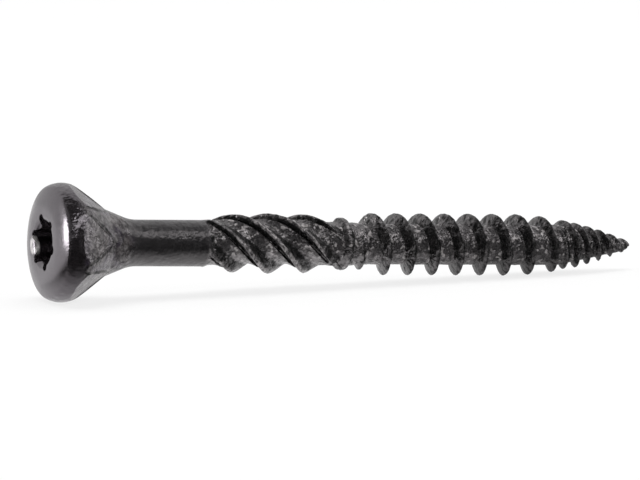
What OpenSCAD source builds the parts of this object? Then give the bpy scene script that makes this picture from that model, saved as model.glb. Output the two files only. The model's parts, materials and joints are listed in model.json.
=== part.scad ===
// Flat head wood screw with a six-lobe drive, forged and rolled from one piece of wire.
// It is modelled along its own axis, from the head face to the tip, and then laid down
// on the side of its head and a crest of its thread. Lengths are in millimetres.

/* [Head] */
// Length from the head face to the tip
length = 50.8; // [46:0.1:70]
// Diameter of the head over its bulged side
head_d = 9.3; // [9.25:0.05:10]
// Radius of the crown between the flat middle of the face and the edge
crown_r = 4.45; // [4:0.05:4.55]
// Slope at which the crown meets the edge
crown_a = 25; // [20:1:25]
// Radius of the edge
edge_r = 0.5; // [0.3:0.01:0.55]
// Slope at which the edge meets the side
edge_a = 65; // [60:1:70]
// Radius of the bulged side, which runs into the cone
side_r = 2.05; // [1.7:0.05:2.1]
// Half angle of the cone under the head
cone_a = 35.6; // [33:0.1:40]
// Diameter where the cone turns into the flare
flare_d = 5.35; // [5:0.05:5.8]
// Half angle of the flare
flare_a = 20.6; // [16:0.1:26]
// Radius that blends the flare into the shank
throat_r = 3.5; // [2:0.5:8]

/* [Drive recess] */
// Diameter over the six lobes
lobe_d = 4.45; // [4.2:0.05:4.7]
// Diameter across the flutes between the lobes
flute_d = 3.2; // [3:0.05:3.4]
// Radius of the tip of a lobe
lobe_r = 0.38; // [0.34:0.01:0.42]
// Diameter of the countersunk mouth at the head face
mouth_d = 4.2; // [4:0.05:4.3]
// Half angle of the mouth
mouth_a = 45; // [40:1:55]
// Depth of the straight part of the recess
recess_depth = 2.1; // [1.5:0.1:2.4]
// Half angle of the pointed floor of the recess
floor_a = 62; // [55:1:75]
// Angle of the first lobe from the line that the screw lies on
recess_clock = 42; // [0:1:60]

/* [Nibs] */
// Number of flats under the head, which leave a nib between each two
flat_count = 6; // [5:1:7]
// Distance from the axis to a flat at the top of the cone
flat_r = 3.92; // [3.85:0.01:4.05]
// Width of a flat at its widest
flat_w = 3.6; // [3.5:0.05:3.8]
// Distance from the top of the cone back to where a flat is widest
flat_back = 0.27; // [0.2:0.01:0.4]
// Height of the low ridge along the middle of a flat
flat_ridge = 0.1; // [0.05:0.01:0.15]
// Angle of the first flat from the line that the screw lies on
flat_clock = 21; // [0:1:60]

/* [Shank] */
// Diameter of the smooth shank
shank_d = 3.64; // [3.5:0.02:3.8]

/* [Knurl] */
// Distance from the head face to the start of the knurl
knurl_start = 13.35; // [12:0.05:15]
// Length of the knurl
knurl_len = 12.6; // [8:0.1:12.8]
// Diameter over the ridges
knurl_d = 4.72; // [4.4:0.02:4.9]
// Diameter at the bottom of the grooves
groove_d = 3.18; // [3:0.02:3.4]
// Number of ridges
ridges = 4; // [3:1:6]
// Advance of a ridge in one turn
knurl_lead = 12.8; // [10:0.1:16]
// Share of the ridge spacing that the steep wall on the cutting side takes
wall_share = 0.12; // [0.08:0.01:0.15]
// Share of the ridge height that the wall takes
wall_drop = 0.65; // [0.4:0.05:0.7]
// Share of the ridge spacing that the cutting side takes with its foot
foot_share = 0.45; // [0.35:0.01:0.5]
// Share of the ridge spacing that the rounded back takes
back_share = 0.42; // [0.35:0.01:0.5]
// Length over which the ridges step up from the shank
knurl_step = 0.5; // [0.4:0.1:1]
// Share of the ridge height that this step takes
step_share = 0.65; // [0.4:0.05:0.8]
// Length over which the ridges rise to their full height
knurl_rise = 4; // [2:0.1:5]
// Length over which the ridges run out at the thread end
knurl_fade = 4.6; // [2:0.1:5]
// Angle of a ridge at the start of the knurl, from the line that the screw lies on
knurl_clock = 20; // [0:10:80]

/* [Neck] */
// Diameter of the neck between the knurl and the thread
neck_d = 3.38; // [3.2:0.02:3.6]
// Diameter of the low collar on the neck
collar_d = 4.1; // [3.8:0.02:4.3]
// Length of the collar
collar_len = 0.9; // [0.7:0.05:1.1]
// Distance from the thread's start back to the middle of the collar
collar_back = 0.82; // [0.75:0.01:0.95]

/* [Thread] */
// Distance from the head face to the start of the thread
thread_start = 26.22; // [26.1:0.01:30]
// Angle at which the thread starts, from the line that the screw lies on
thread_clock = 220; // [0:10:350]
// Pitch of the thread
pitch = 2.117; // [1.9:0.01:2.4]
// Diameter over the thread
thread_d = 4.9; // [4.7:0.02:5.2]
// Diameter of the core under the thread
core_d = 3.2; // [3:0.02:3.4]
// Width of the thread at its crest
crest_w = 0.2; // [0.12:0.01:0.3]
// Half angle of the thread's flanks
flank_a = 20; // [15:1:25]
// Length over which the thread rises to its full height
run_in = 1.7; // [1:0.1:4]

/* [Point] */
// Length over which the thread draws in to the tip
point_len = 11; // [9:0.1:12]
// Half angle of the core's cone at the point
point_a = 11; // [9:0.5:13]
// Radius of the blunt tip
tip_r = 0.36; // [0.3:0.01:0.45]
// Distance from the tip to where the second thread starts
second_back = 7; // [5:0.1:8]
// Length over which the second thread rises
second_rise = 1.6; // [1:0.1:4]

/* [Hidden] */
coating = [0.16, 0.15, 0.16];
$fn = 96;
lobes = 6;
// Sides of the rolled length, and how far it reaches into the shank and lies under its skin
sides = 36;
step_a = 360 / sides;
lap = 0.3;
skin = 0.02;
// Distance outside the head at which a flat's cut ends, and outside the break at its point
clear = 0.1;
point_clear = 0.04;
// Depth by which a flute cuts into the lobes that it touches
bite = 0.01;
// Largest turn between two points on a round stretch of the turned outline
turn_a = 3;
// Smallest height that sets the foot of a thread flank, where the thread itself fades out
foot_height = 0.25;

// Head: crown, edge, side and cone follow each other at a tangent, and the flare leaves at flare_d
head_r = head_d / 2;
side_centre = [head_r - side_r,
    side_r * cos(edge_a) + edge_r * (cos(crown_a) - cos(edge_a)) + crown_r * (1 - cos(crown_a))];
edge_centre = side_centre + (side_r - edge_r) * [sin(edge_a), -cos(edge_a)];
crown_centre = edge_centre + (edge_r - crown_r) * [sin(crown_a), -cos(crown_a)];
cone_top_r = side_centre[0] + side_r * cos(cone_a);
cone_top_z = side_centre[1] + side_r * sin(cone_a);
break_r = flare_d / 2;
break_z = cone_top_z + (cone_top_r - break_r) / tan(cone_a);
shank_r = shank_d / 2;
flare_end_z = break_z + (break_r - shank_r) / tan(flare_a);
throat_centre = [shank_r + throat_r, flare_end_z + throat_r * tan(flare_a / 2)];
shank_end = knurl_start - lap / 2;

// Recess: each flute is the circle that touches its two lobes and the flute diameter
lobe_centre = lobe_d / 2 - lobe_r;
flute_half = flute_d / 2;
mouth_r = mouth_d / 2;
mouth_depth = (mouth_r - flute_half + skin) / tan(mouth_a);
half_lobe_a = 180 / lobes;
flute_r = (pow(lobe_r, 2) - pow(flute_half, 2) - pow(lobe_centre, 2)
    + 2 * lobe_centre * flute_half * cos(half_lobe_a))
    / (2 * (flute_half - lobe_centre * cos(half_lobe_a) - lobe_r));
flute_centre = flute_half + flute_r;

// Flats: each rises straight from the break of the cone until it leaves the side of the head
flat_slope = (flat_r - break_r - point_clear) / (break_z - cone_top_z);
flat_wide_r = flat_r + flat_slope * flat_back;
flat_wide_z = cone_top_z - flat_back;
flat_end_r = head_r + clear;
flat_end_z = cone_top_z - (flat_end_r - flat_r) / flat_slope;

// Thread: turns of the helix, up to one past the tip where they close up
turns = ceil((length - thread_start) / pitch);
crest_half = crest_w / 2;
thread_r = thread_d / 2;
core_r = core_d / 2;
neck_r = neck_d / 2;
point_start = length - point_len;
close_start = length - 3 * tip_r;
cone_start = length - (core_r - tip_r) / tan(point_a);

// Lie: the side of the head and the crest that touches first as the tip comes down
crest_z = [for (t = [0:turns - 1]) thread_start + pitch * (t + 1 - thread_clock / 360)];
lie_a = min([for (z = crest_z) lie_for(z, crest_radius(z))]);
low = side_centre[1] * sin(lie_a) + side_centre[0] * cos(lie_a) + side_r;
back_x = crown_r * (cos(lie_a) - 1) - crown_centre[0] * sin(lie_a);
front_x = length * cos(lie_a);

// Smooth step from 0 to 1
function ease(t) = let (u = min(max(t, 0), 1)) u * u * (3 - 2 * u);

function part_of(x) = x - floor(x);

// A point at a radius, an angle and a height on the screw's axis
function at(r, a, z) = [r * cos(a), r * sin(a), z];

// Points on a round stretch of the turned outline, by the slope of the outline there
function arc(centre, r, from, to) = let (steps = ceil(abs(to - from) / turn_a))
    [for (k = [0:steps]) let (a = from + (to - from) * k / steps) centre + r * [sin(a), -cos(a)]];

// Angle at which the screw lies on the side of its head and a crest of radius r at height z
function lie_for(z, r) = let (rise = side_centre[0] - r, run = z - side_centre[1])
    asin(side_r / norm([rise, run])) + atan2(rise, run);

// Height of a knurl ridge over the groove, from 0 to 1: u runs once from crest to crest
function ridge(u) =
    u < wall_share ? 1 - wall_drop * ease(u / wall_share)
    : u < foot_share ? (1 - wall_drop) * pow((foot_share - u) / (foot_share - wall_share), 1.5)
    : ease((u - 1 + back_share) / back_share);

// Radius of the knurl and the neck
function knurl_radius(a, z) =
    let (along = z - knurl_start,
        u = part_of(ridges * ((a - knurl_clock) / 360 - along / knurl_lead) + skin) - skin,
        risen = step_share + (1 - step_share) * ease(along / knurl_rise),
        shown = risen * ease(along / knurl_step) * ease((knurl_len - along) / knurl_fade),
        base = shank_r - skin + (neck_r - shank_r) * ease(1 - (knurl_len - along) / knurl_fade),
        cut = groove_d / 2 + (knurl_d - groove_d) / 2 * ridge(max(u, 0)))
    base + (cut - base) * shown;

// Radius of the core under the thread, with its cone and its round tip
function core_radius(z) =
    let (straight = core_r + (neck_r - core_r) * (1 - ease((z - thread_start) / run_in)),
        cone = core_r - (z - cone_start) * tan(point_a),
        into_tip = max(z - (length - tip_r), 0))
    min(straight, cone, sqrt(max(pow(tip_r, 2) - pow(into_tip, 2), 0)) + max(length - tip_r - z, 0));

// Radius that the crest of the thread reaches at full height
function crest_radius(z) = thread_r - (thread_r - tip_r) * pow(max(z - point_start, 0) / point_len, 2);

function thread_height(z) = max(crest_radius(z) - core_radius(z), 0) * ease((z - thread_start) / run_in);

function second_height(z) = thread_height(z) * ease((z - length + second_back) / second_rise);

// Half width of a thread's foot
function foot(h) = crest_half + max(h, foot_height) * tan(flank_a);

// Heights beyond the point close up towards the tip
function closed(z) = z < close_start ? z
    : length - (length - close_start) * exp((close_start - z) / (length - close_start));

// One pitch of the thread, as [distance along the axis, height]: the thread, then the second one
function profile(z) =
    let (h = thread_height(z),
        z2 = z + pitch / 2,
        h2 = second_height(z2))
    [[-foot(h), 0], [-crest_half, h], [crest_half, h], [foot(h), 0],
        [pitch / 2 - foot(h2), 0], [pitch / 2, h2], [pitch / 2 + foot(h2), 0]];

// Point j of the thread's profile on side i of turn t
function thread_point(i, t, j) =
    let (z = thread_start + pitch * (t + i / sides),
        p = profile(z)[j],
        along = closed(z + p[0]))
    at(core_radius(along) + p[1], thread_clock + i * step_a, along);

// Head, flare and shank, as one turned profile with its recess and flats
module turned_length() {
    difference() {
        rotate_extrude() turned_profile();
        rotate(recess_clock) drive_recess();
        flats();
    }
}

module turned_profile() {
    polygon(concat([[0, 0]],
        arc(crown_centre, crown_r, 0, crown_a),
        arc(edge_centre, edge_r, crown_a + turn_a, edge_a),
        arc(side_centre, side_r, edge_a + turn_a, 90 + cone_a),
        [[break_r, break_z]],
        arc(throat_centre, throat_r, flare_a - 90, -90),
        [[shank_r, shank_end], [0, shank_end]]));
}

// The recess from its countersunk mouth down to its pointed floor
module drive_recess() {
    translate([0, 0, -lap])
        cylinder(r1 = mouth_r + lap * tan(mouth_a), r2 = flute_half - skin, h = lap + mouth_depth);
    translate([0, 0, -lap]) linear_extrude(recess_depth + lap) six_lobe();
    translate([0, 0, recess_depth - skin])
        cylinder(r1 = flute_half, r2 = 0, h = flute_half / tan(floor_a));
}

module six_lobe() {
    touch = [for (i = [0:lobes - 1], side = [-1, 1])
        let (a = i * 2 * half_lobe_a,
            centre = lobe_centre * [cos(a), sin(a)],
            to = flute_centre * [cos(a + side * half_lobe_a), sin(a + side * half_lobe_a)] - centre)
        centre + lobe_r * to / norm(to)];
    difference() {
        union() {
            polygon(touch);
            for (i = [0:lobes - 1]) rotate(i * 2 * half_lobe_a) translate([lobe_centre, 0]) circle(lobe_r);
        }
        for (i = [0:lobes - 1])
            rotate((2 * i + 1) * half_lobe_a) translate([flute_centre, 0]) circle(flute_r + bite);
    }
}

// What one flat takes away: its floor has a low ridge and ends in a point at the flare
module flat_cut() {
    half = flat_w / 2;
    floor_points = [[break_r + point_clear, 0, break_z],
        [flat_wide_r, half, flat_wide_z], [flat_end_r, half, flat_end_z],
        [flat_end_r + flat_ridge, 0, flat_end_z],
        [flat_end_r, -half, flat_end_z], [flat_wide_r, -half, flat_wide_z]];
    corners = len(floor_points);
    out = [head_r, 0, 0];
    middle = [flat_wide_r + flat_ridge, 0, flat_wide_z];
    points = concat(floor_points, [for (p = floor_points) p + out], [middle, middle + out]);
    polyhedron(points, [for (k = [0:corners - 1], part = [0:3])
        let (next = (k + 1) % corners)
        [[2 * corners, next, k], [k, next, next + corners], [k, next + corners, k + corners],
            [2 * corners + 1, k + corners, next + corners]][part]]);
}

module flats() {
    for (i = [0:flat_count - 1]) rotate(flat_clock + i * 360 / flat_count) flat_cut();
}

// Knurl, neck, thread and point, as one skin of rings and then helical rows
module rolled_length() {
    row = 7;
    last = row * turns;
    ring_gap = knurl_lead / sides;
    collar_z = thread_start - collar_back;
    knurl_rings = floor((min(knurl_len, collar_z - collar_len - knurl_start)) / ring_gap);
    ring_z = concat([for (n = [-1:knurl_rings]) knurl_start + n * ring_gap],
        [for (u = [-1, -0.5, 0, 0.5, 1]) collar_z + u * collar_len / 2]);
    rings = len(ring_z);
    ring_points = [for (n = [0:rings - 1], i = [0:sides - 1])
        let (a = thread_clock + i * step_a,
            z = ring_z[n],
            swell = max(1 - pow(2 * (z - collar_z) / collar_len, 2), 0))
        at(knurl_radius(a, z) + (collar_d / 2 - neck_r) * swell, a, z)];
    thread_points = [for (i = [0:sides - 1], k = [0:last]) thread_point(i, floor(k / row), k % row)];
    first_thread = rings * sides;
    start_centre = first_thread + sides * (last + 1);
    tip = start_centre + 1;
    points = concat(ring_points, thread_points, [[0, 0, ring_z[0]], [0, 0, length]]);

    function ring_at(n, i) = n * sides + i % sides;
    function row_at(i, k) = first_thread + (i < sides ? i * (last + 1) + k : k + row);

    ring_faces = [for (n = [0:rings - 2], i = [0:sides - 1], half = [0, 1])
        half == 0 ? [ring_at(n, i), ring_at(n + 1, i), ring_at(n + 1, i + 1)]
            : [ring_at(n, i), ring_at(n + 1, i + 1), ring_at(n, i + 1)]];
    start_faces = [for (i = [0:sides - 1]) [ring_at(0, i), ring_at(0, i + 1), start_centre]];
    join_faces = [for (i = [0:sides - 1], half = [0, 1])
        half == 0 ? [ring_at(rings - 1, i), row_at(i, 0), row_at(i + 1, 0)]
            : [ring_at(rings - 1, i), row_at(i + 1, 0), ring_at(rings - 1, i + 1)]];
    seam_faces = [for (k = [0:row - 1]) [ring_at(rings - 1, 0), row_at(0, k + 1), row_at(0, k)]];
    row_faces = [for (i = [0:sides - 1], k = [0:last - 1 - (i == sides - 1 ? row : 0)], half = [0, 1])
        half == 0 ? [row_at(i, k), row_at(i, k + 1), row_at(i + 1, k + 1)]
            : [row_at(i, k), row_at(i + 1, k + 1), row_at(i + 1, k)]];
    tip_faces = [for (i = [0:sides - 2]) [row_at(i + 1, last), row_at(i, last), tip]];
    tip_seam = [for (k = [last - row:last - 1]) [row_at(sides - 1, k), row_at(sides - 1, k + 1), tip]];
    tip_close = [[row_at(0, last), row_at(sides - 1, last - row), tip]];
    polyhedron(points,
        concat(ring_faces, start_faces, join_faces, seam_faces, row_faces, tip_faces, tip_seam, tip_close));
}

module screw() {
    color(coating)
        translate([-(back_x + front_x) / 2, 0, low])
        rotate([0, 90 + lie_a, 0]) {
            turned_length();
            rolled_length();
        }
}

screw();
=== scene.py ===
import json
import math

import bmesh
import bpy
from mathutils import Matrix, Vector, noise


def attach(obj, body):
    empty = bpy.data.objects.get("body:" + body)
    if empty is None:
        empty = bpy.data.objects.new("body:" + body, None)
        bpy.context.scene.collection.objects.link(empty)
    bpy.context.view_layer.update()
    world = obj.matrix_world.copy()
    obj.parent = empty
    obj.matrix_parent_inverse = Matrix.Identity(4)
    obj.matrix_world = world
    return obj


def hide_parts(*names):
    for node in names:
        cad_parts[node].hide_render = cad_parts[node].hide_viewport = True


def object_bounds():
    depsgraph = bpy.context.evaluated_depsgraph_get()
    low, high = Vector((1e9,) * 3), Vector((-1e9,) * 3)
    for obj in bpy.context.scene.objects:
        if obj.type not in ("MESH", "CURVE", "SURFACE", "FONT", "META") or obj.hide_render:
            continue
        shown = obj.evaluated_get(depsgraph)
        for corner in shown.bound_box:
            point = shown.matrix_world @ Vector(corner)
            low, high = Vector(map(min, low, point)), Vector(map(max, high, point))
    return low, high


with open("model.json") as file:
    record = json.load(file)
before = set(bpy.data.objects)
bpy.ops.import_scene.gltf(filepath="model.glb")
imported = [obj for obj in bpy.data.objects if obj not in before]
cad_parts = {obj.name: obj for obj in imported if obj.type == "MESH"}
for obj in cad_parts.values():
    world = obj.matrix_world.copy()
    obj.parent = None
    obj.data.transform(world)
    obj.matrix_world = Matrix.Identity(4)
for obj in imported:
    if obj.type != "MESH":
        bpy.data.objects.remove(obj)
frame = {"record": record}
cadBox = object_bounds()
print("frame loaded, box", [round(v, 5) for corner in cadBox for v in corner])

# The screw is modelled upright in millimetres, head face at z = 0 and tip at z = length,
# and then laid down where the frame's screw lies.
sides = 144
length = 50.8
shankEnd = 13.35
millimetre = 0.001
seamMerge = 0.004        # points closer than this are one
rowMerge = 0.0006
degenerateShare = 0.25   # edges shorter than this share of it are taken out


def deselectAll():
    if bpy.context.mode != "OBJECT":
        bpy.ops.object.mode_set(mode="OBJECT")
    bpy.ops.object.select_all(action="DESELECT")


def makeActive(piece):
    deselectAll()
    piece.select_set(True)
    bpy.context.view_layer.objects.active = piece


def applyModifier(piece, kind, **settings):
    makeActive(piece)
    modifier = piece.modifiers.new(kind.title(), kind)
    for name, value in settings.items():
        setattr(modifier, name, value)
    bpy.ops.object.modifier_apply(modifier=modifier.name)


def mergeDoubles(piece, distance):
    makeActive(piece)
    bpy.ops.object.mode_set(mode="EDIT")
    bpy.ops.mesh.select_all(action="SELECT")
    bpy.ops.mesh.remove_doubles(threshold=distance)
    bpy.ops.mesh.dissolve_degenerate(threshold=distance * degenerateShare)
    bpy.ops.mesh.select_all(action="SELECT")
    bpy.ops.mesh.normals_make_consistent(inside=False)
    bpy.ops.object.mode_set(mode="OBJECT")


def ease(t):
    u = min(max(t, 0.0), 1.0)
    return u * u * (3 - 2 * u)


# extrude a filled circle ring by ring along a list of (radius, height)
def extrudeRings(name, profile, vertices, outline=None):
    deselectAll()
    radius, height = profile[0]
    bpy.ops.mesh.primitive_circle_add(vertices=vertices, radius=1, fill_type="NGON", location=(0, 0, 0))
    piece = bpy.context.object
    piece.name = name
    for vertex in piece.data.vertices:
        x, y, z = vertex.co
        reach = radius * (outline(math.atan2(y, x)) if outline else 1)
        vertex.co = (reach * x, reach * y, height)
    bpy.ops.object.mode_set(mode="EDIT")
    bpy.ops.mesh.select_all(action="SELECT")
    for nextRadius, nextHeight in profile[1:]:
        bpy.ops.mesh.extrude_region_move(TRANSFORM_OT_translate={"value": (0, 0, nextHeight - height)})
        scale = nextRadius / radius
        bpy.ops.transform.resize(value=(scale, scale, 1), center_override=(0, 0, nextHeight))
        radius, height = nextRadius, nextHeight
    bpy.ops.mesh.select_all(action="SELECT")
    bpy.ops.mesh.normals_make_consistent(inside=False)
    bpy.ops.object.mode_set(mode="OBJECT")
    return piece


# head, cone, flare and smooth shank
headShape = {
    "headRadius": 4.65,
    "crownRadius": 4.45,
    "crownAngle": 25,
    "edgeRadius": 0.5,
    "edgeAngle": 65,
    "sideRadius": 2.05,
    "arcStep": 3.5,
    "coneAngle": 35.6,
    "coneRings": 8,
    "breakRadius": 2.675,
    "breakRound": 0.15,      # how far the crease between cone and flare is softened
    "flareAngle": 20.6,
    "throatRadius": 3.5,
    "throatSteps": 8,
    "shankRadius": 1.82,
    "shankRings": 10,
}


def headProfile():
    s = headShape
    cone = math.radians(s["coneAngle"])
    flare = math.radians(s["flareAngle"])
    turns = [0, s["crownAngle"], s["edgeAngle"], 90 + s["coneAngle"]]
    radii = [s["crownRadius"], s["edgeRadius"], s["sideRadius"]]
    points = [(s["headRadius"], 0.0)]
    for radius, begin, end in zip(radii, turns, turns[1:]):
        steps = math.ceil((end - begin) / s["arcStep"])
        for k in range(steps):
            before, after = (math.radians(begin + (end - begin) * (k + i) / steps) for i in (0, 1))
            points.append((points[-1][0] + radius * (math.sin(after) - math.sin(before)),
                           points[-1][1] + radius * (math.cos(before) - math.cos(after))))
    excess = max(point[0] for point in points) - s["headRadius"]
    points = [(radius - excess, height) for radius, height in points]
    topRadius, topHeight = points[-1]
    breakHeight = topHeight + (topRadius - s["breakRadius"]) / math.tan(cone)
    soft = s["breakRound"]
    before = (s["breakRadius"] + soft * math.sin(cone), breakHeight - soft * math.cos(cone))
    crease = (s["breakRadius"], breakHeight)
    after = (s["breakRadius"] - soft * math.sin(flare), breakHeight + soft * math.cos(flare))
    middle = tuple((a + 2 * b + c) / 4 for a, b, c in zip(before, crease, after))
    for k in range(1, s["coneRings"]):
        share = k / s["coneRings"]
        points.append((topRadius + (before[0] - topRadius) * share,
                       topHeight + (before[1] - topHeight) * share))
    points += [before, middle, after]
    flareEnd = breakHeight + (s["breakRadius"] - s["shankRadius"]) / math.tan(flare)
    run = s["throatRadius"] * math.tan(flare / 2)
    for k in range(s["throatSteps"] + 1):
        turn = flare * (1 - k / s["throatSteps"])
        radius = s["shankRadius"] + s["throatRadius"] * (1 - math.cos(turn))
        points.append((radius, flareEnd + run - s["throatRadius"] * math.sin(turn)))
    throatEnd = flareEnd + run
    for k in range(1, s["shankRings"] + 1):
        points.append((s["shankRadius"], throatEnd + (shankEnd - throatEnd) * k / s["shankRings"]))
    return points, topHeight, breakHeight


profile, coneTopHeight, breakHeight = headProfile()
head = extrudeRings("head", profile, sides)
print("head turned,", len(head.data.vertices), "points")

# six-lobe recess, cut from the face
recessShape = {
    "lobes": 6,
    "lobeRadius": 2.225,
    "fluteRadius": 1.6,
    "tipRound": 0.38,
    "depth": 2.1,
    "floorDepth": 0.85,
    "mouthRound": 0.07,
    "mouthSteps": 3,
    "overMouth": ((3, -0.4), (1.1, -0.001)),      # mouth rounds beyond the lobes, and height
    "wall": ((1, 0.5), (0.985, 1)),               # share of the lobe radius, and of the depth
    "floor": ((0.6, 0.3), (0.02, 1)),             # share of the lobe radius, and of the floor's depth
    "sinkRadius": 2.1,                            # countersunk mouth, rounded over from face to flutes
    "sinkRound": 0.52,
    "sinkSteps": 10,
    "sinkStep": 8.5,
    "overSink": ((0.2, -0.3), (0.02, -0.002)),    # beyond the sink's radius, and height
    "clock": 42,
    "vertices": 192,
}


def lobeOutline(angle):
    s = recessShape
    centre = s["lobeRadius"] - s["tipRound"]
    half = math.pi / s["lobes"]
    flute = (s["tipRound"] ** 2 - s["fluteRadius"] ** 2 - centre ** 2
             + 2 * centre * s["fluteRadius"] * math.cos(half))
    flute /= 2 * (s["fluteRadius"] - centre * math.cos(half) - s["tipRound"])
    fluteCentre = s["fluteRadius"] + flute
    away = (angle - math.radians(s["clock"])) % (2 * half)
    away = min(away, 2 * half - away)
    inside = s["tipRound"] ** 2 - (centre * math.sin(away)) ** 2
    lobe = centre * math.cos(away) + math.sqrt(inside) if inside > 0 else 0
    across = half - away
    beyond = flute ** 2 - (fluteCentre * math.sin(across)) ** 2
    cut = fluteCentre * math.cos(across) - math.sqrt(beyond) if beyond > 0 else s["lobeRadius"]
    touch = math.atan2(flute * math.sin(half), flute * math.cos(half) + s["tipRound"])
    limit = math.atan2(s["tipRound"] * math.sin(touch), centre)
    return (lobe if away < limit and lobe else min(cut, lobe or cut)) / s["lobeRadius"]


def recessProfile():
    s = recessShape
    full, mouth = s["lobeRadius"], s["mouthRound"]
    points = [(full + mouth * rounds, height) for rounds, height in s["overMouth"]]
    for k in range(1, s["mouthSteps"] + 1):
        turn = math.pi / 2 * k / s["mouthSteps"]
        points.append((full + mouth * (1 - math.sin(turn)), mouth * (1 - math.cos(turn))))
    points += [(full * share, s["depth"] * deep) for share, deep in s["wall"]]
    points += [(full * share, s["depth"] + s["floorDepth"] * deep) for share, deep in s["floor"]]
    return points


def sinkProfile():
    s = recessShape
    points = [(s["sinkRadius"] + beyond, height) for beyond, height in s["overSink"]]
    for k in range(1, s["sinkSteps"] + 1):
        turn = math.radians(s["sinkStep"] * k)
        points.append((s["sinkRadius"] - s["sinkRound"] * math.sin(turn),
                       s["sinkRound"] * (1 - math.cos(turn))))
    return points


def cutHead(cutter):
    applyModifier(head, "BOOLEAN", operation="DIFFERENCE", solver="EXACT", object=cutter)
    bpy.data.objects.remove(cutter)


cutHead(extrudeRings("sink_cutter", sinkProfile(), sides))
cutHead(extrudeRings("recess_cutter", recessProfile(), recessShape["vertices"], lobeOutline))
print("recess cut,", len(head.data.vertices), "points")

# flats pressed into the cone, which leave a nib between each two
flatShape = {
    "count": 6,
    "radius": 3.92,
    "width": 3.6,
    "back": 0.27,
    "ridge": 0.1,
    "clock": 21,
    "clear": 0.1,
    "pointClear": 0.04,
    "smoothAngle": 12,
}
flatPoint = headShape["breakRadius"] + flatShape["pointClear"]
flatSlope = (flatShape["radius"] - flatPoint) / (breakHeight - coneTopHeight)


def addFlatCutter(index):
    s = flatShape
    turn = Matrix.Rotation(math.radians(s["clock"] + 360 / s["count"] * index), 4, "Z")
    half = s["width"] / 2
    wide = s["radius"] + flatSlope * s["back"]
    wideHeight = coneTopHeight - s["back"]
    outer = headShape["headRadius"] + s["clear"]
    end = coneTopHeight - (outer - s["radius"]) / flatSlope
    outline = [(flatPoint, 0, breakHeight), (wide, half, wideHeight), (outer, half, end),
               (outer + s["ridge"], 0, end), (outer, -half, end), (wide, -half, wideHeight)]
    deselectAll()
    bpy.ops.mesh.primitive_circle_add(vertices=len(outline), radius=1, fill_type="NGON")
    cutter = bpy.context.object
    cutter.name = "flat_cutter"
    for vertex, place in zip(cutter.data.vertices, outline):
        vertex.co = turn @ Vector(place)
    bpy.ops.object.mode_set(mode="EDIT")
    bpy.ops.mesh.select_all(action="SELECT")
    bpy.ops.mesh.extrude_region_move(TRANSFORM_OT_translate={"value": turn @ Vector((outer, 0, 0))})
    mesh = bmesh.from_edit_mesh(cutter.data)
    ends = [face for face in mesh.faces if len(face.verts) == len(outline)]
    floorFace = min(ends, key=lambda face: face.calc_center_median().xy.length)
    for face in mesh.faces:
        face.select = face == floorFace
    bmesh.update_edit_mesh(cutter.data)
    bpy.ops.mesh.poke()      # its middle is lifted into a low ridge
    mesh = bmesh.from_edit_mesh(cutter.data)
    mesh.verts.ensure_lookup_table()
    mesh.verts[-1].co = turn @ Vector((wide + s["ridge"], 0, wideHeight))
    bmesh.update_edit_mesh(cutter.data)
    bpy.ops.mesh.select_all(action="SELECT")
    bpy.ops.mesh.normals_make_consistent(inside=False)
    bpy.ops.object.mode_set(mode="OBJECT")
    return cutter


for index in range(flatShape["count"]):
    cutHead(addFlatCutter(index))
makeActive(head)
bpy.ops.object.shade_smooth_by_angle(angle=math.radians(flatShape["smoothAngle"]))
print("flats pressed,", len(head.data.vertices), "points")

# rolled length: knurl, neck, thread and point on one skin of helical rows
rolledShape = {
    "knurlLength": 12.6,
    "knurlRadius": 2.36,
    "grooveRadius": 1.59,
    "ridges": 4,
    "knurlLead": 12.8,
    "wallShare": 0.07,       # the wall drops into a narrow slot, and a strip beyond it leads to the foot
    "slotShare": 0.1,
    "slotFloor": 0.08,
    "stripShare": 0.16,
    "stripHeight": 0.42,
    "stripFall": 1.5,
    "footShare": 0.45,
    "backShare": 0.42,
    "knurlStep": 0.5,
    "stepShare": 0.45,
    "knurlRise": 4.0,
    "knurlFade": 4.6,
    "knurlClock": 13,
    "neckRadius": 1.69,
    "collarRadius": 2.05,
    "collarLength": 0.9,
    "collarHeight": 25.4,
    "threadStart": 26.22,
    "threadClock": 220,
    "pitch": 2.117,
    "threadRadius": 2.45,
    "coreRadius": 1.6,
    "crestHalf": 0.1,
    "crestShare": 0.4,
    "flankAngle": 20,
    "flankLeast": 0.25,      # a lower thread keeps the foot of this height
    "flankRound": 0.6,
    "footRound": 0.06,
    "runIn": 1.7,
    "pointLength": 11.0,
    "pointAngle": 11,
    "tipRadius": 0.36,
    "tipRun": 3,             # rows close up over this many tip radii
    "tipCut": 0.03,          # the last rows crowd together and are closed with one cap
    "secondBack": 7.0,
    "secondRise": 1.6,
    "rowsPerPitch": 24,
    "pitchesBefore": 1.1,
    "pitchesBeyond": 2,
    "crowding": 0.6,         # columns stand closer together at the wall
    "crowdRise": 0.8,
    "crowdFade": 1.5,
    "lump": 0.03,            # height of the coating's uneven lumps
    "lumpSize": 0.3,
    "lumpStart": 0.2,
    "lumpRise": 1.5,
    "lumpFade": 1.0,
    "smallLump": 0.6,        # height and number of the smaller lumps on them
    "smallLumps": 2.3,
    "smoothAngle": 40,
}


def ridgeHeight(u):
    s = rolledShape
    if u < s["wallShare"]:
        return 1 - (1 - s["slotFloor"]) * ease(u / s["wallShare"])
    if u < s["stripShare"]:
        rise = ease((u - s["slotShare"]) / (s["stripShare"] - s["slotShare"]))
        return s["slotFloor"] + (s["stripHeight"] - s["slotFloor"]) * rise
    if u < s["footShare"]:
        left = (s["footShare"] - u) / (s["footShare"] - s["stripShare"])
        return s["stripHeight"] * left ** s["stripFall"]
    return ease((u - 1 + s["backShare"]) / s["backShare"])


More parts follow.
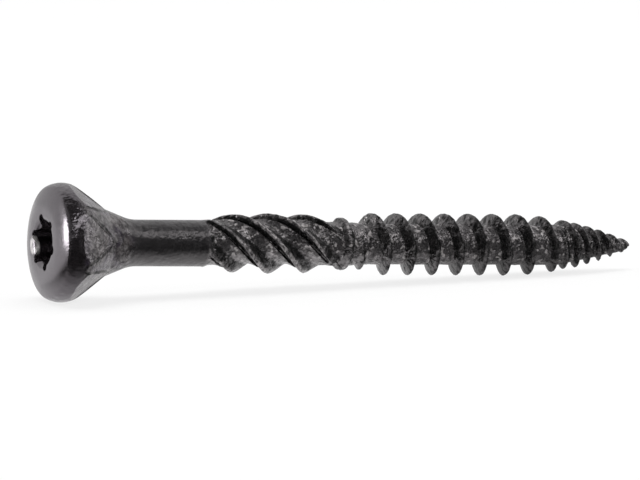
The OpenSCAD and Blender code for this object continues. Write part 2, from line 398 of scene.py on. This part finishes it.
def knurlRadius(degrees, z):
    s = rolledShape
    along = z - shankEnd
    u = (s["ridges"] * ((degrees - s["knurlClock"]) / 360 - along / s["knurlLead"])) % 1
    risen = s["stepShare"] + (1 - s["stepShare"]) * ease(along / s["knurlRise"])
    shown = risen * ease(along / s["knurlStep"]) * ease((s["knurlLength"] - along) / s["knurlFade"])
    shank = headShape["shankRadius"]
    base = shank + (s["neckRadius"] - shank) * ease(1 - (s["knurlLength"] - along) / s["knurlFade"])
    cut = s["grooveRadius"] + (s["knurlRadius"] - s["grooveRadius"]) * ridgeHeight(u)
    swell = max(1 - (2 * (z - s["collarHeight"]) / s["collarLength"]) ** 2, 0)
    return base + (cut - base) * shown + (s["collarRadius"] - s["neckRadius"]) * ease(swell)


def coreRadius(z):
    s = rolledShape
    neckLeft = 1 - ease((z - s["threadStart"]) / s["runIn"])
    straight = s["coreRadius"] + (s["neckRadius"] - s["coreRadius"]) * neckLeft
    slope = math.tan(math.radians(s["pointAngle"]))
    cone = s["tipRadius"] + (length - z) * slope
    tip = s["tipRadius"]
    intoTip = max(z - (length - tip), 0)
    roundTip = math.sqrt(max(tip ** 2 - intoTip ** 2, 0)) + max(length - tip - z, 0)
    return min(straight, cone, roundTip)


def threadHeight(z):
    s = rolledShape
    drawnIn = (max(z - (length - s["pointLength"]), 0) / s["pointLength"]) ** 2
    crest = s["threadRadius"] - (s["threadRadius"] - s["tipRadius"]) * drawnIn
    return max(crest - coreRadius(z), 0) * ease((z - s["threadStart"]) / s["runIn"])


def threadShare(away, height):
    s = rolledShape
    flank = max(height, s["flankLeast"]) * math.tan(math.radians(s["flankAngle"]))
    foot = s["crestHalf"] + flank + s["footRound"]
    t = min(max((foot - away) / (foot - s["crestHalf"] * s["crestShare"]), 0), 1)
    return t + s["flankRound"] * (ease(t) - t)


def rolledRadius(degrees, z):
    s = rolledShape
    body = knurlRadius(degrees, z) if z < s["threadStart"] else coreRadius(z)
    turn = (z - s["threadStart"]) / s["pitch"] - (degrees - s["threadClock"]) / 360
    phase = (turn + 0.5) % 1 - 0.5
    height = threadHeight(z)
    second = height * ease((z - length + s["secondBack"]) / s["secondRise"])
    first = height * threadShare(abs(phase) * s["pitch"], height)
    between = second * threadShare((0.5 - abs(phase)) * s["pitch"], second)
    return body + max(first, between)


def closeUp(z):
    near = length - rolledShape["tipRun"] * rolledShape["tipRadius"]
    if z < near:
        return z
    return length - (length - near) * math.exp((near - z) / (length - near))


def atAngle(radius, degrees, height):
    turn = math.radians(degrees)
    return (radius * math.cos(turn), radius * math.sin(turn), height)


def rolledPoint(x, y, z):
    s = rolledShape
    z = max(closeUp(z), shankEnd)
    along = z - shankEnd
    degrees = math.degrees(math.atan2(y, x))
    wall = math.radians(s["ridges"] * (degrees - s["knurlClock"]) - 360 * s["wallShare"])
    crowd = s["crowding"] * ease(along / s["crowdRise"]) * ease((s["threadStart"] - z) / s["crowdFade"])
    degrees -= math.degrees(crowd * math.sin(wall)) / s["ridges"]
    degrees += 360 * (min(along, s["knurlLength"]) / s["knurlLead"])      # columns follow the knurl's ridges
    radius = rolledRadius(degrees, z)
    if z > shankEnd + s["lumpStart"]:
        place = Vector(atAngle(radius, degrees, z)) / s["lumpSize"]
        uneven = noise.noise(place) + s["smallLump"] * noise.noise(place * s["smallLumps"])
        radius += s["lump"] * (ease(along / s["lumpRise"]) * ease((length - z) / s["lumpFade"])) * uneven
    return atAngle(radius, degrees, z)


def addRolledLength():
    s = rolledShape
    bottom = shankEnd - s["pitchesBefore"] * s["pitch"]
    pitches = math.ceil((length - bottom) / s["pitch"]) + s["pitchesBeyond"]
    top = bottom + pitches * s["pitch"]
    deselectAll()
    bpy.ops.mesh.primitive_plane_add(size=1)
    piece = bpy.context.object
    piece.name = "rolled_length"
    bpy.ops.object.mode_set(mode="EDIT")
    mesh = bmesh.from_edit_mesh(piece.data)
    for vertex in mesh.verts:
        vertex.select = vertex.co.x < 0
    mesh.select_flush_mode()
    bmesh.update_edit_mesh(piece.data)
    bpy.ops.mesh.delete(type="VERT")           # one edge is left, the row line
    mesh = bmesh.from_edit_mesh(piece.data)
    for vertex, height in zip(mesh.verts, (bottom, top)):
        vertex.co = (s["coreRadius"], 0, height)
        vertex.select = True
    mesh.select_flush_mode()
    bmesh.update_edit_mesh(piece.data)
    bpy.ops.mesh.select_all(action="SELECT")
    bpy.ops.mesh.subdivide(number_cuts=pitches - 1)
    bpy.ops.mesh.subdivide(number_cuts=s["rowsPerPitch"] - 1)
    bpy.ops.object.mode_set(mode="OBJECT")
    applyModifier(piece, "SCREW", axis="Z", angle=2 * math.pi, screw_offset=s["pitch"],
                  steps=sides, render_steps=sides, use_merge_vertices=False)
    mergeDoubles(piece, seamMerge)
    for vertex in piece.data.vertices:
        vertex.co = rolledPoint(*vertex.co)
    mergeDoubles(piece, rowMerge)
    return piece


rolled = addRolledLength()
print("rolled length made,", len(rolled.data.vertices), "points")

# one number per point, edge or face, to sort them by: height first
sortKey = {
    "digits": 4,
    "heightWeight": 1000,
    "acrossWeight": 17.3,
}


def placeKey(element):
    points = getattr(element, "verts", [element])
    middle = (sum(point.co[i] for point in points) / len(points) for i in range(3))
    x, y, z = (round(part, sortKey["digits"]) for part in middle)
    return z * sortKey["heightWeight"] + x * sortKey["acrossWeight"] + y


# open the shank's end, weld both lengths into one skin and cap the tip
def weldScrew():
    makeActive(head)
    bpy.ops.object.mode_set(mode="EDIT")
    mesh = bmesh.from_edit_mesh(head.data)
    # the cuts leave the points in no fixed order, and merging depends on it
    for elements in (mesh.verts, mesh.edges, mesh.faces):
        elements.sort(key=placeKey)
    for face in mesh.faces:
        face.select = all(abs(v.co.z - shankEnd) < seamMerge for v in face.verts)
    bmesh.update_edit_mesh(head.data)
    bpy.ops.mesh.delete(type="ONLY_FACE")
    bpy.ops.object.mode_set(mode="OBJECT")
    deselectAll()
    head.select_set(True)
    rolled.select_set(True)
    bpy.context.view_layer.objects.active = head
    bpy.ops.object.join()
    head.name = "coated_screw"
    head.data.name = "coated_screw"
    mergeDoubles(head, seamMerge)
    bpy.ops.object.mode_set(mode="EDIT")
    bpy.ops.mesh.select_mode(type="VERT")
    bpy.ops.mesh.select_all(action="DESELECT")
    mesh = bmesh.from_edit_mesh(head.data)
    for vertex in mesh.verts:
        vertex.select = vertex.co.z > length - rolledShape["tipCut"]
    mesh.select_flush_mode()
    bmesh.update_edit_mesh(head.data)
    bpy.ops.mesh.delete(type="VERT")
    bpy.ops.mesh.select_mode(type="EDGE")
    bpy.ops.mesh.select_non_manifold(use_wire=False, use_multi_face=False,
                                     use_non_contiguous=False, use_verts=False)
    bpy.ops.mesh.fill()
    bpy.ops.mesh.select_all(action="SELECT")
    bpy.ops.mesh.normals_make_consistent(inside=False)
    bpy.ops.object.mode_set(mode="OBJECT")
    bpy.ops.object.shade_smooth_by_angle(angle=math.radians(rolledShape["smoothAngle"]))
    return head


screw = weldScrew()
print("screw welded,", len(screw.data.vertices), "points,", len(screw.data.polygons), "faces")

# lay it down where the frame's recess mount says that the head face is
recessMount = next(m for m in frame["record"]["mounts"] if m["name"] == "drive_recess")
faceCentre = Vector(recessMount["pos_m"])
alongScrew = -Vector(recessMount["axis"]).normalized()
acrossScrew = Vector((0, 1, 0))
downScrew = acrossScrew.cross(alongScrew)
turned = Matrix((downScrew, acrossScrew, alongScrew)).transposed().to_4x4()
screw.matrix_world = Matrix.Translation(faceCentre) @ turned @ Matrix.Scale(millimetre, 4)
makeActive(screw)
bpy.ops.object.transform_apply(location=True, rotation=True, scale=True)
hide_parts("screw")
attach(screw, "root")
print("screw laid down")


# materials
def newMaterial(name):
    material = bpy.data.materials.new(name)
    material.use_nodes = True
    material.node_tree.nodes.clear()
    return material, material.node_tree


# give a socket its value, or link it to the socket that has it
def feed(tree, socket, value):
    if isinstance(value, bpy.types.NodeSocket):
        tree.links.new(value, socket)
    else:
        socket.default_value = value


def addNode(tree, kind, output, inputs, **settings):
    node = tree.nodes.new("ShaderNode" + kind)
    for name, value in settings.items():
        setattr(node, name, value)
    for name, value in inputs.items():
        feed(tree, node.inputs[name], value)
    return node.outputs[output]


# value ramped smoothly between two inputs
def addRamp(tree, source, begin, end, low=0.0, high=1.0):
    inputs = {"Value": source, "From Min": begin, "From Max": end, "To Min": low, "To Max": high}
    return addNode(tree, "MapRange", "Result", inputs, interpolation_type="SMOOTHSTEP")


def addMath(tree, operation, *values):
    return addNode(tree, "Math", "Value", dict(enumerate(values)), operation=operation)


# the same operation on several values, one after another
def addChain(tree, operation, first, *others):
    for value in others:
        first = addMath(tree, operation, first, value)
    return first


def addVectorMath(tree, operation, *values):
    output = "Vector" if operation in ("SUBTRACT", "CROSS_PRODUCT") else "Value"
    return addNode(tree, "VectorMath", output, dict(enumerate(values)), operation=operation)


def addNoise(tree, place, scale, detail, roughness):
    inputs = {"Vector": place, "Scale": scale, "Detail": detail, "Roughness": roughness}
    return addNode(tree, "TexNoise", "Fac", inputs)


def addColourMix(tree, share, first, second):
    return addNode(tree, "Mix", "Result", {"Factor": share, "A": first, "B": second}, data_type="RGBA")


# Heights are millimetres from the head face. A pair is where a ramp begins and ends, and two more
# values are what it begins and ends with.
coatingLook = {
    "smoothColour": (0.014, 0.012, 0.013, 1),
    "shankColour": (0.011, 0.011, 0.012, 1),
    "coneColour": (0.05, 0.043, 0.044, 1),
    "purpleColour": (0.04, 0.032, 0.05, 1),
    "roughColour": (0.04, 0.038, 0.039, 1),
    "paintedShadeColour": (0.01, 0.01, 0.01, 1),     # painted shade on the thread's flanks, the knurl's walls and the flats' edges
    # pale specks: painted glints
    "glintSpeckColour": (0.36, 0.34, 0.34, 1),
    # bright ring on one flute: wear and painted glint
    "wearAndGlintColour": (0.62, 0.6, 0.59, 1),
    "headTint": (1, 0.92, 1, 1),
    "shankTint": (1, 0.94, 0.96, 1),
    "noises": {                               # scale, detail and roughness
        "fine": (2500, 2, 0.6),
        "lumps": (1200, 2, 0.5),
        "specks": (2500, 1, 0.5),
        "patina": (1900, 2, 0.6),
        "blotches": (900, 3, 0.5),
        "patches": (420, 2, 0.5),
    },
    "rim": (0.3, 0.6),
    "coneStart": (1.5, 2.3),
    "flatsEnd": (breakHeight - 0.05, breakHeight + 0.1, 1, 0),
    "flareStart": (4.2, 5.4),
    "coneEnd": (6.2, 7.5),
    "rolledStart": (shankEnd - 0.2, shankEnd + 0.5),
    "knurlEnd": (23.5, 25.5, 1, 0),
    "tipward": (0.03, 0.28),                  # how far a side faces the tip or the head, which sets where shade is painted
    "headward": (-0.35, -0.62),
    "patchRamp": (0.42, 0.58),
    "blotchRamp": (0.35, 0.65),
    "speckRamp": (0.57, 0.7),
    "coneSpecks": 0.3,
    "crestRubAndGlint": (2.05, 2.3),                 # distance from the axis of the knurl's crests, with coating wear and painted as lit
    "rubAndGlint": (0.42, 0.62, 0, 0.8),
    "edgeLine": (0.08, 0.19, 1, 0),           # dark line along the flats' edges, painted shade in the crease
    "edgeBreaks": (0.35, 0.5, 0.65, 1),
    "flatInset": (0, 0.1),
    "wearAndGlintPlace": (1.85, 78, 0.1),             # radius, degrees and depth of the ring on a flute in the recess, with wear and a painted glint
    "wearAndGlintOuter": (0.65, 0.85, 1, 0),
    "wearAndGlintInner": (0.15, 0.4, 0.25, 1),
    "wearAndGlintDepth": (0.3, 0.5, 1, 0),
    "wearAndGlintGrain": (0.35, 0.55, 0.3, 1),
    "ior": 1.9,
    "headGloss": 0.75,
    "shankGloss": 0.5,
    "flatGloss": 0.14,
    "leastGloss": 0.05,
    "dulling": (0.35, 0.65, -0.3, 0.5),
    "coneDulling": (0.35, 0.65, -0.5, -0.06),
    "flareDulling": -0.2,
    "flankDulling": -0.42,
    "threadFlank": 0.35,                      # share of that on the thread's sides that face the head
    "edgeDulling": -0.6,
    "smoothRoughness": 0.2,
    "shankRoughness": 0.33,
    "roughRoughness": 0.17,
    "coneRoughness": 0.05,
    "unevenRoughness": (0.3, 0.7, -0.04, 0.06),
    "smoothBump": 0.05,
    "rimBump": 0.7,
    "coneBump": 0.5,
    "shankBump": 0.3,
    "roughBump": 1.7,
    "bumpHeight": 0.0001,
}


# a point's height, its way from the head face's centre and its distance from the axis
def addPlaces(tree, place):
    along = addVectorMath(tree, "DOT_PRODUCT", place, alongScrew / millimetre)
    height = addMath(tree, "SUBTRACT", along, faceCentre.dot(alongScrew) / millimetre)
    beside = addVectorMath(tree, "SUBTRACT", place, faceCentre)
    arm = addVectorMath(tree, "CROSS_PRODUCT", beside, alongScrew / millimetre)
    return height, beside, addVectorMath(tree, "LENGTH", arm)


# how far a point of the cone lies inside the nearest flat's edge, in millimetres
def addFlatInset(tree, height, beside, reach):
    half = math.pi / flatShape["count"]
    across = addVectorMath(tree, "DOT_PRODUCT", beside, acrossScrew)
    down = addVectorMath(tree, "DOT_PRODUCT", beside, downScrew)
    turn = addMath(tree, "ARCTAN2", across, down)
    turn = addMath(tree, "SUBTRACT", turn, math.radians(flatShape["clock"]))
    turn = addMath(tree, "WRAP", turn, half, -half)
    sideways = addMath(tree, "MULTIPLY", reach, addMath(tree, "SINE", turn))
    coneSlope = math.tan(math.radians(headShape["coneAngle"]))
    squares = []
    for start, slope in ((headShape["breakRadius"], coneSlope), (flatPoint, flatSlope)):
        radius = addMath(tree, "MULTIPLY_ADD", height, -slope, start + breakHeight * slope)
        squares.append(addMath(tree, "MULTIPLY", radius, radius))
    width = addMath(tree, "MAXIMUM", addMath(tree, "SUBTRACT", *squares), 0)
    return addMath(tree, "SUBTRACT", addMath(tree, "SQRT", width), addMath(tree, "ABSOLUTE", sideways))


# bright ring on one flute of the recess, partly wear and partly a painted glint
def addWearAndGlintRing(tree, place, height, fine):
    look = coatingLook
    radius, degrees, depth = look["wearAndGlintPlace"]
    turn = math.radians(degrees)
    sideways = downScrew * math.cos(turn) + acrossScrew * math.sin(turn)
    centre = faceCentre + sideways * radius * millimetre + alongScrew * depth * millimetre
    away = addMath(tree, "DIVIDE", addVectorMath(tree, "DISTANCE", place, centre), millimetre)
    sources = {"wearAndGlintOuter": away, "wearAndGlintInner": away, "wearAndGlintDepth": height, "wearAndGlintGrain": fine}
    ramps = (addRamp(tree, source, *look[name]) for name, source in sources.items())
    return addChain(tree, "MULTIPLY", *ramps)


def coatingMaterial():
    look = coatingLook
    material, tree = newMaterial("black_coating")
    place = addNode(tree, "TexCoord", "Object", {})
    height, beside, reach = addPlaces(tree, place)
    grain = {name: addNoise(tree, place, *row) for name, row in look["noises"].items()}
    facing = addVectorMath(tree, "DOT_PRODUCT", addNode(tree, "NewGeometry", "Normal", {}), alongScrew)

    # smooth length: head, blotched cone and shank
    coneBegin = addRamp(tree, height, *look["coneStart"])
    coneOver = addRamp(tree, height, *look["coneEnd"])
    cone = addMath(tree, "SUBTRACT", coneBegin, coneOver)
    colour = addColourMix(tree, coneOver, look["smoothColour"], look["shankColour"])
    patches = addRamp(tree, grain["patches"], *look["patchRamp"])
    patched = addColourMix(tree, patches, look["coneColour"], look["purpleColour"])
    blotches = addMath(tree, "MULTIPLY", cone, addRamp(tree, grain["blotches"], *look["blotchRamp"]))
    colour = addColourMix(tree, blotches, colour, patched)

    # rolled length: painted shade on sides that face the tip or the head, except on the knurl's crests
    rolledOn = addRamp(tree, height, *look["rolledStart"])
    knurled = addRamp(tree, height, *look["knurlEnd"])
    tipward = addRamp(tree, facing, *look["tipward"])
    headward = addRamp(tree, facing, *look["headward"])
    # the knurl's crests: coating wear and painted highlight, left out of the painted shade
    crest = addMath(tree, "MULTIPLY", knurled, addRamp(tree, reach, *look["crestRubAndGlint"]))
    shade = addMath(tree, "MAXIMUM", tipward, headward)
    shade = addMath(tree, "MULTIPLY", shade, addMath(tree, "SUBTRACT", 1, crest))
    rolledColour = addColourMix(tree, shade, look["roughColour"], look["paintedShadeColour"])
    colour = addColourMix(tree, rolledOn, colour, rolledColour)
    shaded = addMath(tree, "MULTIPLY", shade, rolledOn)

    # flats, and painted shade along their edges
    pressed = addMath(tree, "MULTIPLY", cone, addRamp(tree, height, *look["flatsEnd"]))
    inset = addFlatInset(tree, height, beside, reach)
    line = addRamp(tree, addMath(tree, "ABSOLUTE", inset), *look["edgeLine"])
    line = addMath(tree, "MULTIPLY", line, addRamp(tree, grain["lumps"], *look["edgeBreaks"]))
    edge = addMath(tree, "MULTIPLY", pressed, line)
    flat = addMath(tree, "MULTIPLY", pressed, addRamp(tree, inset, *look["flatInset"]))
    colour = addColourMix(tree, edge, colour, look["paintedShadeColour"])

    # pale specks painted as glints, crests with wear and painted highlight, and a ring on one flute with
    # wear and a painted glint
    rubbedAndLit = addMath(tree, "MULTIPLY", crest, addRamp(tree, grain["fine"], *look["rubAndGlint"]))
    specks = addMath(tree, "MAXIMUM", addRamp(tree, grain["specks"], *look["speckRamp"]), rubbedAndLit)
    speckShare = addMath(tree, "MAXIMUM", rolledOn, addMath(tree, "MULTIPLY", cone, look["coneSpecks"]))
    glintSpecks = addChain(tree, "MULTIPLY", speckShare, specks, addMath(tree, "SUBTRACT", 1, shaded))
    colour = addColourMix(tree, glintSpecks, colour, look["glintSpeckColour"])
    wearAndGlint = addWearAndGlintRing(tree, place, height, grain["fine"])
    colour = addColourMix(tree, wearAndGlint, colour, look["wearAndGlintColour"])

    gloss = addRamp(tree, coneOver, 0, 1, look["headGloss"], look["shankGloss"])
    flankShare = addChain(tree, "MAXIMUM", tipward, knurled, look["threadFlank"])
    for factors in (
        (rolledOn, addRamp(tree, grain["patina"], *look["dulling"])),
        (cone, addRamp(tree, grain["patina"], *look["coneDulling"])),
        (cone, addRamp(tree, height, *look["flareStart"]), look["flareDulling"]),
        (shaded, flankShare, look["flankDulling"]),
        (flat, look["flatGloss"]),
        (edge, look["edgeDulling"]),
    ):
        gloss = addMath(tree, "ADD", gloss, addChain(tree, "MULTIPLY", *factors))

    rolledChange = look["roughRoughness"] - look["shankRoughness"]
    roughness = addChain(
        tree, "ADD",
        addRamp(tree, coneOver, 0, 1, look["smoothRoughness"], look["shankRoughness"]),
        addMath(tree, "MULTIPLY", rolledOn, rolledChange),
        addMath(tree, "MULTIPLY", cone, look["coneRoughness"]),
        addRamp(tree, grain["lumps"], *look["unevenRoughness"]),
    )

    rim = addRamp(tree, height, *look["rim"])
    strength = addChain(
        tree, "MAXIMUM",
        addRamp(tree, rim, 0, 1, look["smoothBump"], look["rimBump"]),
        addMath(tree, "MULTIPLY", cone, look["coneBump"]),
        addMath(tree, "MULTIPLY", coneOver, look["shankBump"]),
        addMath(tree, "MULTIPLY", rolledOn, look["roughBump"]),
    )
    bump = addNode(tree, "Bump", "Normal", {
        "Distance": addMath(tree, "MULTIPLY", strength, look["bumpHeight"]),
        "Height": addMath(tree, "ADD", grain["fine"], grain["lumps"]),
    })
    shader = addNode(tree, "BsdfPrincipled", "BSDF", {
        "IOR": look["ior"],
        "Base Color": colour,
        "Specular IOR Level": addMath(tree, "MAXIMUM", gloss, look["leastGloss"]),
        "Specular Tint": addColourMix(tree, coneBegin, look["headTint"], look["shankTint"]),
        "Roughness": roughness,
        "Normal": bump,
    })
    feed(tree, tree.nodes.new("ShaderNodeOutputMaterial").inputs["Surface"], shader)
    return material


screw.data.materials.clear()
screw.data.materials.append(coatingMaterial())
print("coating set")

# pale floor: white for the camera with the shadow kept, and a light table for reflections
floorLook = {
    "size": 4.0,
    "colour": (0.9, 0.9, 0.9, 1),
    "glow": 0.8,
    "tableFront": (-0.008, -0.0003),
    "tableLeft": (-0.034, -0.025),
    "tableBack": (0.001, 0.006),
    "tableRight": (0.01, 0.05, 0, 0.7),
    "tableFall": (-0.004, 0.018, 1, 0.34),
}


def floorMaterial():
    look = floorLook
    material, tree = newMaterial("pale_floor")
    path = tree.nodes.new("ShaderNodeLightPath")
    split = tree.nodes.new("ShaderNodeSeparateXYZ")
    feed(tree, split.inputs["Vector"], addNode(tree, "TexCoord", "Object", {}))
    along, across = split.outputs["X"], split.outputs["Y"]
    lit = addMath(tree, "MAXIMUM", addRamp(tree, along, *look["tableLeft"]),
                  addRamp(tree, across, *look["tableBack"]))
    near = addChain(tree, "MULTIPLY", addRamp(tree, along, *look["tableFall"]), lit,
                    addRamp(tree, across, *look["tableFront"]))
    table = addMath(tree, "MAXIMUM", near, addRamp(tree, along, *look["tableRight"]))
    seen = path.outputs["Is Camera Ray"]
    mirrored = addMath(tree, "MAXIMUM", path.outputs["Is Glossy Ray"], path.outputs["Is Transmission Ray"])
    mixed = addNode(tree, "MixShader", "Shader", {
        "Fac": addMath(tree, "MULTIPLY_ADD", seen, look["glow"], mirrored),
        1: addNode(tree, "BsdfDiffuse", "BSDF", {"Color": look["colour"]}),
        2: addNode(tree, "Emission", "Emission", {"Strength": addMath(tree, "MAXIMUM", seen, table)}),
    })
    feed(tree, tree.nodes.new("ShaderNodeOutputMaterial").inputs["Surface"], mixed)
    return material


deselectAll()
bpy.ops.mesh.primitive_plane_add(size=floorLook["size"], location=(0, 0, cadBox[0][2]))
floor = bpy.context.object
floor.name = "floor"
bpy.ops.object.transform_apply(location=True, rotation=True, scale=True)
floor.data.materials.append(floorMaterial())
print("floor laid")

# studio: white behind and to the right, a dim wall at the left, dark in front, soft boxes
studio = {
    "rightLean": 0.45,
    "surround": (0.0, 0.6, 0.03, 0.95),
    "leftWall": (0.35, 0.75, 0.0, 0.32),
    "leftFoot": (-0.02, 0.25),
    "boxes": [
        # name, direction to it, distance, width, height, power
        ("front strip", (0.36, -0.60, 0.69), 0.7, 1.3, 0.13, 1.7),
        ("left box", (-0.926, 0.355, 0.122), 0.6, 0.17, 0.16, 0.95),
        ("right card", (0.99, -0.1, 0.03), 0.6, 0.14, 0.14, 0.12),
    ],
    "shadowBox": ("top box", (0.0, 0.2, 1.0), 0.9, 0.9, 0.5, 6.5),
}


def buildWorld():
    world = bpy.data.worlds.new("studio")
    bpy.context.scene.world = world
    world.use_nodes = True
    tree = world.node_tree
    tree.nodes.clear()
    split = tree.nodes.new("ShaderNodeSeparateXYZ")
    feed(tree, split.inputs["Vector"], addNode(tree, "TexCoord", "Generated", {}))
    right, back, up = (split.outputs[name] for name in "XYZ")
    lean = addMath(tree, "MULTIPLY", addMath(tree, "MAXIMUM", right, 0), studio["rightLean"])
    level = addRamp(tree, addMath(tree, "ADD", back, lean), *studio["surround"])
    left = addMath(tree, "MULTIPLY", right, -1)
    leftWall = addMath(tree, "MULTIPLY", addRamp(tree, left, *studio["leftWall"]),
                       addRamp(tree, up, *studio["leftFoot"]))
    level = addMath(tree, "MAXIMUM", level, leftWall)
    mixed = addNode(tree, "MixShader", "Shader", {
        "Fac": addNode(tree, "LightPath", "Is Camera Ray", {}),
        1: addNode(tree, "Background", "Background", {"Strength": level}),
        2: addNode(tree, "Background", "Background", {}),
    })
    feed(tree, tree.nodes.new("ShaderNodeOutputWorld").inputs["Surface"], mixed)


def addSoftBox(name, direction, distance, width, height, power):
    lamp = bpy.data.lights.new(name, "AREA")
    lamp.shape = "RECTANGLE"
    lamp.size = width
    lamp.size_y = height
    lamp.energy = power
    box = bpy.data.objects.new(name, lamp)
    bpy.context.scene.collection.objects.link(box)
    box.location = Vector(direction).normalized() * distance
    box.rotation_euler = Vector(direction).to_track_quat("Z", "Y").to_euler()
    return box


buildWorld()
for row in studio["boxes"]:
    addSoftBox(*row)
addSoftBox(*studio["shadowBox"]).visible_glossy = False
bpy.context.scene.view_settings.view_transform = "Standard"
print("studio lit")

# long lens on the head's side, so that the screw's axis lies level in the picture
view = {
    "turn": 24.40,
    "rise": 7.14,
    "distance": 0.565,
    "lens": 403.3,
    "sensor": 36,
    "clipStart": 0.01,
    "aimAlong": 23.62,
    "aimUp": 0.302,
}


def addCamera():
    turn = math.radians(view["turn"])
    rise = math.radians(view["rise"])
    back = Vector((-math.sin(turn) * math.cos(rise), -math.cos(turn) * math.cos(rise), math.sin(rise)))
    right = Vector((math.cos(turn), -math.sin(turn), 0))
    up = back.cross(right)
    aim = faceCentre + alongScrew * view["aimAlong"] * millimetre + up * view["aimUp"] * millimetre
    camera = bpy.data.cameras.new("camera")
    camera.sensor_width = view["sensor"]
    camera.lens = view["lens"]
    camera.clip_start = view["clipStart"]
    holder = bpy.data.objects.new("camera", camera)
    bpy.context.scene.collection.objects.link(holder)
    facing = Matrix((right, up, back)).transposed().to_4x4()
    holder.matrix_world = Matrix.Translation(aim + back * view["distance"]) @ facing
    bpy.context.scene.camera = holder


addCamera()
print("camera set")
